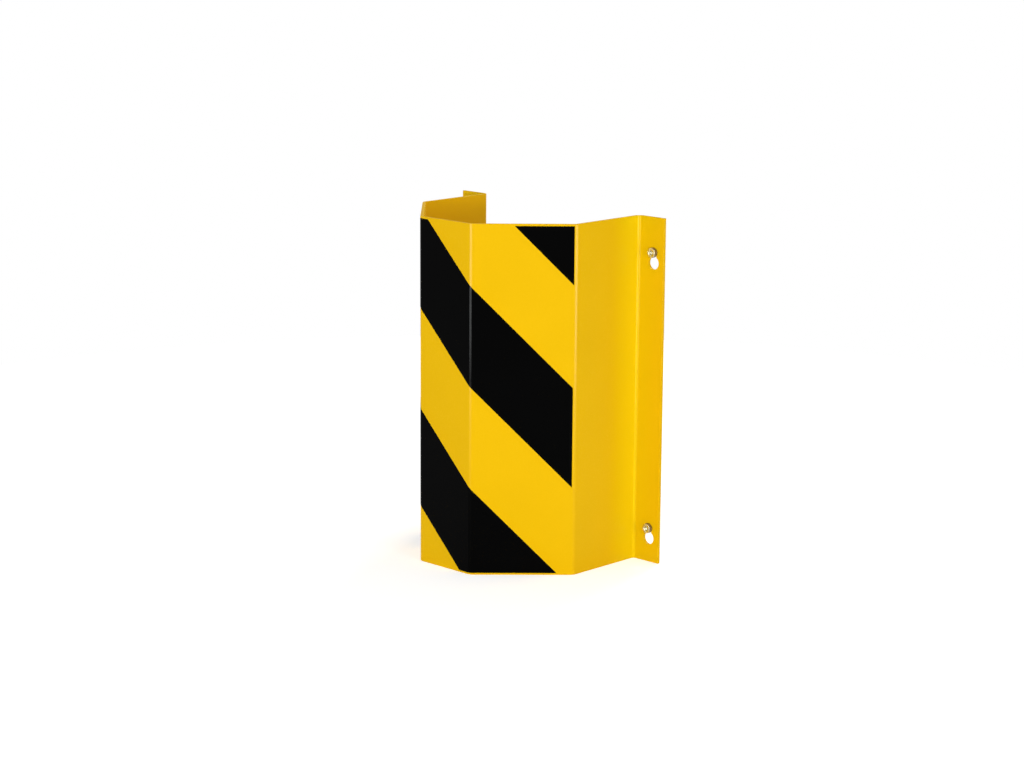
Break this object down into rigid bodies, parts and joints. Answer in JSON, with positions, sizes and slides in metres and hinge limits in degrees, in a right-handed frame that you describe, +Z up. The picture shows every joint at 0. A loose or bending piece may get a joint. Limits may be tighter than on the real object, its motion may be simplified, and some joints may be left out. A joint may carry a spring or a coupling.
{
  "type": "pipe protection guard",
  "caption": "Folded steel guard that stands around a vertical pipe against a wall, yellow with black diagonal bands, hung on screws through keyhole slots.",
  "frame": {"origin": "middle of the footprint's bounding box, at the level of the bottom edge that the guard stands on", "axes": "+X along the wall, to the right when the front is looked at; +Y into the wall, which touches the flanges at y = 0.07845; +Z up"},
  "size_m": [0.28, 0.1744, 0.35],
  "materials": {
    "yellow_powder_coat": "smooth glossy powder coat on steel",
    "black_gloss_film": "glossy adhesive film",
    "bright_zinc": "bright zinc plated steel"
  },
  "bodies": {
    "root": {"guard_sheet": "yellow_powder_coat", "film_band_1": "black_gloss_film", "film_band_2": "black_gloss_film", "film_band_3": "black_gloss_film", "film_band_4": "black_gloss_film", "screw_left_top": "bright_zinc", "screw_left_bottom": "bright_zinc", "screw_right_top": "bright_zinc", "screw_right_bottom": "bright_zinc"}
  },
  "joints": []
}
